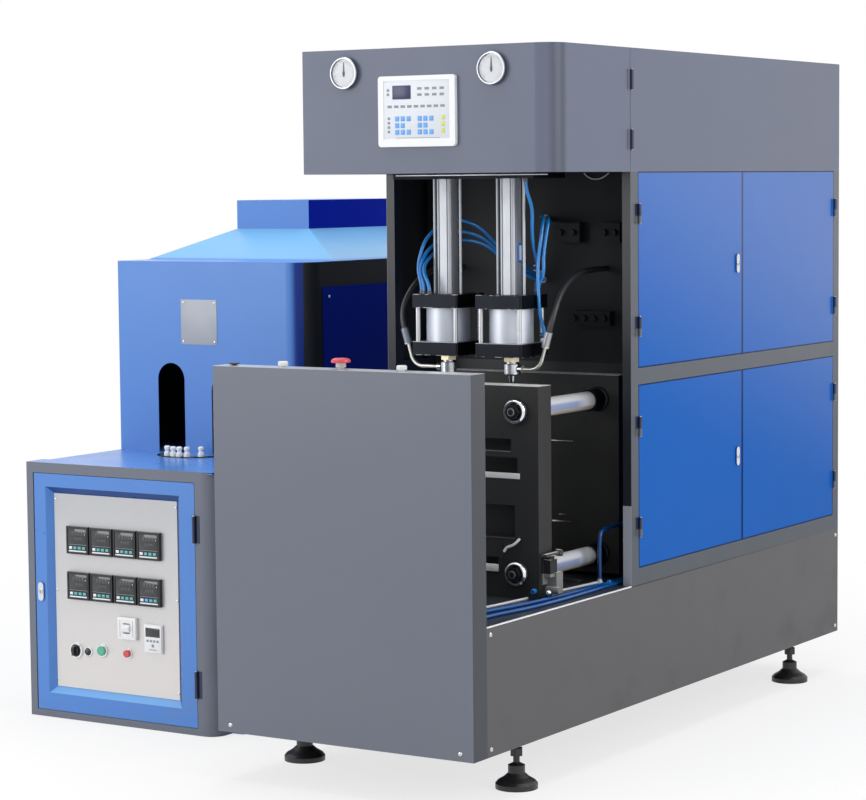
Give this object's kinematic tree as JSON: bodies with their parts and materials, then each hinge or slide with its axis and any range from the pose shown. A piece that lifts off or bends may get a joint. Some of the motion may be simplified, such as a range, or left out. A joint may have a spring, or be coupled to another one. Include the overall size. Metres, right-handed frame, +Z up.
{
  "type": "stretch blow moulding machine",
  "caption": "Stretch blow moulding machine for plastic bottles, with a mould clamp, two blow stations, a swing-open header and a preform heating oven standing beside it.",
  "frame": {"origin": "on the floor under the middle of the bounding box of the whole machine", "axes": "+Z up; -Y is the operator's front, where the guard box and the control door face; +X is the side with the blue cabinet doors"},
  "size_m": [1.7806, 2.2024, 1.9],
  "materials": {
    "grey": "satin dark grey enamel",
    "blue": "satin blue enamel",
    "dark": "dark blue-grey paint",
    "steel": "ground steel",
    "plate": "grey machined and painted plate",
    "chrome": "polished",
    "alu": "satin anodised",
    "black": "black oxide",
    "feet": "black pad on a steel stud",
    "chain": "oiled steel",
    "holder": "white",
    "hose": "black",
    "tube": "blue",
    "console": "light frame round a membrane keypad",
    "silver": "satin",
    "meter": "black",
    "white": "white",
    "green": "green",
    "red": "red",
    "knob": "black",
    "lamp": "quartz lamp tubes and reflector",
    "needle": "black"
  },
  "bodies": {
    "machine": {"base_frame": "grey", "levelling_feet": "feet", "front_guard_box": "grey", "cabinet_frame": "grey", "side_panels": "grey", "bay_wall": "black", "header_shell": "grey", "hinge_pins": "black", "hanger_plate": "plate", "stretch_cylinders": "alu", "seal_flanges": "black", "seal_barrels": "chrome", "seal_tie_rods": "steel", "blow_hose_left": "hose", "blow_hose_right": "hose", "front_platen": "plate", "rear_platen": "plate", "tie_bars": "chrome", "clamp_cylinder": "black", "oven_base": "blue", "oven_table": "blue", "carrier_chain": "chain", "preform_holders": "holder", "oven_hood": "blue", "oven_side_panel": "blue", "exhaust_stack": "blue", "heating_banks": "lamp", "control_cabinet": "grey", "panel_screws": "steel", "air_valves": "black", "air_tubes": "tube"},
    "header_cover_body": {"header_cover": "grey", "control_console": "console", "pressure_gauges": "chrome"},
    "needle_left": {"gauge_needle_left": "needle"},
    "needle_right": {"gauge_needle_right": "needle"},
    "lower_front_leaf": {"lower_front_door": "blue"},
    "lower_rear_leaf": {"lower_rear_door": "blue"},
    "upper_front_leaf": {"upper_front_door": "blue"},
    "upper_rear_leaf": {"upper_rear_door": "blue"},
    "lower_handle": {"lower_door_handle": "chrome"},
    "upper_handle": {"upper_door_handle": "chrome"},
    "control_leaf": {"control_door": "blue", "instrument_plate": "silver", "panel_instruments": "meter"},
    "lock": {"control_lock": "chrome"},
    "selector": {"selector_switch": "knob"},
    "rocker": {"power_rocker": "white"},
    "green_push": {"green_button": "green"},
    "red_push": {"red_button": "red"},
    "clamp": {"moving_platen": "plate", "clamp_rod": "chrome"},
    "seal_left": {"seal_rod_left": "steel"},
    "seal_right": {"seal_rod_right": "steel"},
    "stretch_left": {"stretch_rod_left": "chrome"},
    "stretch_right": {"stretch_rod_right": "chrome"},
    "plain_push": {"plain_button": "knob"},
    "left_push": {"left_start_button": "white"},
    "stop_push": {"emergency_stop": "red"},
    "right_push": {"right_start_button": "white"}
  },
  "joints": [
    {"name": "header_cover_hinge", "type": "hinge", "parent": "machine", "child": "header_cover_body", "pos_m": [0.88575, -0.2758, 1.735], "axis": [0, 0, 1], "range_deg": [0, 100]},
    {"name": "gauge_left_pointer", "type": "hinge", "parent": "header_cover_body", "child": "needle_left", "pos_m": [0.23975, -0.6838, 1.838], "axis": [0, 1, 0], "range_deg": [0, 270]},
    {"name": "gauge_right_pointer", "type": "hinge", "parent": "header_cover_body", "child": "needle_right", "pos_m": [0.69675, -0.6838, 1.838], "axis": [0, 1, 0], "range_deg": [0, 270]},
    {"name": "lower_front_door_hinge", "type": "hinge", "parent": "machine", "child": "lower_front_leaf", "pos_m": [0.88575, -0.2338, 0.748], "axis": [0, 0, -1], "range_deg": [0, 110]},
    {"name": "lower_rear_door_hinge", "type": "hinge", "parent": "machine", "child": "lower_rear_leaf", "pos_m": [0.88575, 1.0602, 0.748], "axis": [0, 0, 1], "range_deg": [0, 110]},
    {"name": "lower_handle_turn", "type": "hinge", "parent": "lower_front_leaf", "child": "lower_handle", "pos_m": [0.88175, 0.37445, 0.7485], "axis": [1, 0, 0], "range_deg": [0, 90]},
    {"name": "upper_front_door_hinge", "type": "hinge", "parent": "machine", "child": "upper_front_leaf", "pos_m": [0.88575, -0.2338, 1.307], "axis": [0, 0, -1], "range_deg": [0, 110]},
    {"name": "upper_rear_door_hinge", "type": "hinge", "parent": "machine", "child": "upper_rear_leaf", "pos_m": [0.88575, 1.0602, 1.307], "axis": [0, 0, 1], "range_deg": [0, 110]},
    {"name": "upper_handle_turn", "type": "hinge", "parent": "upper_front_leaf", "child": "upper_handle", "pos_m": [0.88175, 0.37445, 1.307], "axis": [1, 0, 0], "range_deg": [0, 90]},
    {"name": "control_door_hinge", "type": "hinge", "parent": "machine", "child": "control_leaf", "pos_m": [-0.27625, -0.7018, 0.367], "axis": [0, 0, 1], "range_deg": [0, 110]},
    {"name": "control_lock_turn", "type": "hinge", "parent": "control_leaf", "child": "lock", "pos_m": [-0.84125, -0.6988, 0.3685], "axis": [0, 1, 0], "range_deg": [0, 90]},
    {"name": "selector_turn", "type": "hinge", "parent": "control_leaf", "child": "selector", "pos_m": [-0.72725, -0.6848, 0.202], "axis": [0, 1, 0], "range_deg": [-45, 45]},
    {"name": "power_rocker_tilt", "type": "hinge", "parent": "control_leaf", "child": "rocker", "pos_m": [-0.53225, -0.6868, 0.283], "axis": [1, 0, 0], "range_deg": [-12, 12]},
    {"name": "green_button_press", "type": "slide", "parent": "control_leaf", "child": "green_push", "axis": [0, 1, 0], "range_m": [0, 0.003], "stiffness_N_per_m": 800, "springref_m": -0.002},
    {"name": "red_button_press", "type": "slide", "parent": "control_leaf", "child": "red_push", "axis": [0, 1, 0], "range_m": [0, 0.003], "stiffness_N_per_m": 800, "springref_m": -0.002},
    {"name": "clamp_stroke", "type": "slide", "parent": "machine", "child": "clamp", "axis": [0, -1, 0], "range_m": [0, 0.14]},
    {"name": "seal_left_stroke", "type": "slide", "parent": "machine", "child": "seal_left", "axis": [0, 0, -1], "range_m": [0, 0.035], "deforming": ["blow_hose_left"]},
    {"name": "stretch_left_stroke", "type": "slide", "parent": "machine", "child": "stretch_left", "axis": [0, 0, -1], "range_m": [0, 0.32]},
    {"name": "seal_right_stroke", "type": "slide", "parent": "machine", "child": "seal_right", "axis": [0, 0, -1], "range_m": [0, 0.035], "deforming": ["blow_hose_right"]},
    {"name": "stretch_right_stroke", "type": "slide", "parent": "machine", "child": "stretch_right", "axis": [0, 0, -1], "range_m": [0, 0.32]},
    {"name": "plain_button_press", "type": "slide", "parent": "machine", "child": "plain_push", "axis": [0, 0, -1], "range_m": [0, 0.003], "stiffness_N_per_m": 800, "springref_m": -0.003},
    {"name": "left_button_press", "type": "slide", "parent": "machine", "child": "left_push", "axis": [0, 0, -1], "range_m": [0, 0.004], "stiffness_N_per_m": 800, "springref_m": -0.003},
    {"name": "stop_button_press", "type": "slide", "parent": "machine", "child": "stop_push", "axis": [0, 0, -1], "range_m": [0, 0.004], "stiffness_N_per_m": 800, "springref_m": -0.003},
    {"name": "right_button_press", "type": "slide", "parent": "machine", "child": "right_push", "axis": [0, 0, -1], "range_m": [0, 0.004], "stiffness_N_per_m": 800, "springref_m": -0.003}
  ]
}
